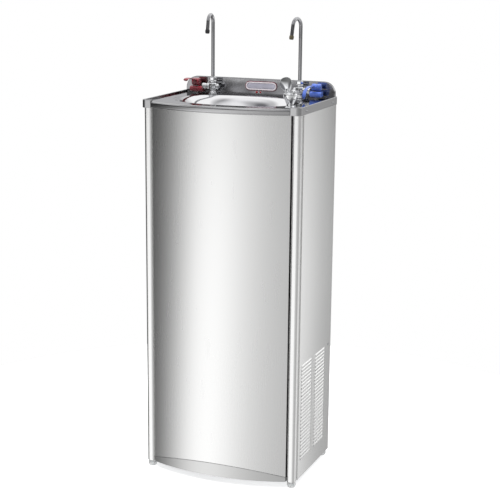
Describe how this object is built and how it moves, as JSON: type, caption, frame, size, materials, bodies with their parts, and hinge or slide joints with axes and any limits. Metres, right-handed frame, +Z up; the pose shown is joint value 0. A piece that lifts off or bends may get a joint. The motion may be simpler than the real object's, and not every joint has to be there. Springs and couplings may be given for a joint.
{
  "type": "drinking fountain",
  "caption": "Free-standing stainless drinking fountain: bowed cabinet, polished basin, hot and cold gooseneck fillers with levers, push-button bubbler, side louvres.",
  "frame": {"origin": "on the floor under the middle of the bounding box", "axes": "+Z up, -Y out of the bowed front, +X to the cold tap and the bubbler"},
  "size_m": [0.464, 0.36, 1.2993],
  "materials": {
    "satin_steel": "satin stainless steel, fine vertical grain",
    "polished_steel": "polished stainless steel",
    "galvanised_steel": "galvanised sheet with faint spangle",
    "chrome": "bright chrome",
    "red_plastic": "glossy deep red moulded plastic",
    "blue_plastic": "glossy blue moulded plastic",
    "foot_plastic": "translucent light grey moulded plastic",
    "white_plastic": "white moulded plastic",
    "window_plastic": "smoked lilac-grey window",
    "lamp_red": "red lamp lens",
    "black_plastic": "black moulded plastic",
    "black_paint": "semi-gloss black paint",
    "foam": "rigid insulating foam",
    "copper": "drawn copper",
    "brass": "turned brass",
    "silicone_hose": "milky silicone hose",
    "grey_pipe": "grey plastic pipe"
  },
  "bodies": {
    "cabinet": {"back_panel": "galvanised_steel", "backsplash": "polished_steel", "base_pan": "galvanised_steel", "basin_deck": "polished_steel", "bubbler_body": "chrome", "bubbler_guard": "chrome", "bubbler_supply_pipe": "silicone_hose", "cold_handle_base": "blue_plastic", "cold_spout_nut": "chrome", "cold_supply_pipe": "silicone_hose", "cold_tank": "satin_steel", "cold_tank_jacket": "foam", "cold_valve_body": "chrome", "compressor": "black_paint", "condenser": "galvanised_steel", "control_box": "black_plastic", "drain_pipe": "grey_pipe", "drain_strainer": "chrome", "fan_frame": "black_paint", "foot_front_left": "foot_plastic", "foot_front_right": "foot_plastic", "foot_rear_left": "foot_plastic", "foot_rear_right": "foot_plastic", "front_panel": "satin_steel", "front_rim_moulding": "satin_steel", "heating_element": "copper", "hot_handle_base": "red_plastic", "hot_spout_nut": "chrome", "hot_supply_pipe": "silicone_hose", "hot_tank": "satin_steel", "hot_valve_body": "chrome", "kick_plate": "satin_steel", "lamp_heating": "lamp_red", "lamp_power": "lamp_red", "post_front_left": "satin_steel", "post_front_right": "satin_steel", "post_rear_left": "galvanised_steel", "post_rear_right": "galvanised_steel", "power_inlet": "black_plastic", "side_panel_left": "satin_steel", "side_panel_right": "satin_steel", "side_rim_strip_left": "satin_steel", "side_rim_strip_right": "satin_steel", "tank_shelf": "galvanised_steel", "water_inlet": "brass", "window_bezel": "white_plastic", "window_lens": "window_plastic"},
    "hot_lever_arm": {"hot_lever": "red_plastic"},
    "cold_lever_arm": {"cold_lever": "blue_plastic"},
    "hot_spout_arm": {"hot_spout": "chrome", "hot_nozzle": "black_plastic"},
    "cold_spout_arm": {"cold_spout": "chrome", "cold_nozzle": "black_plastic"},
    "bubbler_push": {"bubbler_button": "chrome"},
    "fan": {"fan_rotor": "black_plastic"},
    "heat_switch": {"heat_rocker": "red_plastic"},
    "cool_switch": {"cool_rocker": "blue_plastic"},
    "thermostat": {"thermostat_knob": "black_plastic"}
  },
  "joints": [
    {"name": "hot_lever_lift", "type": "hinge", "parent": "cabinet", "child": "hot_lever_arm", "pos_m": [-0.182, 0.13, 1.1024], "axis": [1, 0, 0], "range_deg": [-6, 20]},
    {"name": "cold_lever_lift", "type": "hinge", "parent": "cabinet", "child": "cold_lever_arm", "pos_m": [0.182, 0.13, 1.1024], "axis": [1, 0, 0], "range_deg": [-26, 2]},
    {"name": "hot_spout_swivel", "type": "hinge", "parent": "cabinet", "child": "hot_spout_arm", "pos_m": [-0.133, 0.13, 1.13], "axis": [0, 0, 1], "range_deg": [-100, 100]},
    {"name": "cold_spout_swivel", "type": "hinge", "parent": "cabinet", "child": "cold_spout_arm", "pos_m": [0.133, 0.13, 1.13], "axis": [0, 0, 1], "range_deg": [-100, 100]},
    {"name": "bubbler_press", "type": "slide", "parent": "cabinet", "child": "bubbler_push", "axis": [-0.4206, 0.5507, -0.721], "range_m": [0, 0.0035], "stiffness_N_per_m": 400, "springref_m": -0.002},
    {"name": "fan_spin", "type": "hinge", "parent": "cabinet", "child": "fan", "pos_m": [0.147, 0.015, 0.195], "axis": [1, 0, 0], "continuous": true},
    {"name": "heat_rocker_tilt", "type": "hinge", "parent": "cabinet", "child": "heat_switch", "pos_m": [-0.083, 0.1685, 0.645], "axis": [1, 0, 0], "range_deg": [-8, 8]},
    {"name": "cool_rocker_tilt", "type": "hinge", "parent": "cabinet", "child": "cool_switch", "pos_m": [-0.083, 0.1685, 0.595], "axis": [1, 0, 0], "range_deg": [-8, 8]},
    {"name": "thermostat_turn", "type": "hinge", "parent": "cabinet", "child": "thermostat", "pos_m": [-0.125, 0.17, 0.62], "axis": [0, 1, 0], "range_deg": [-135, 135]}
  ]
}
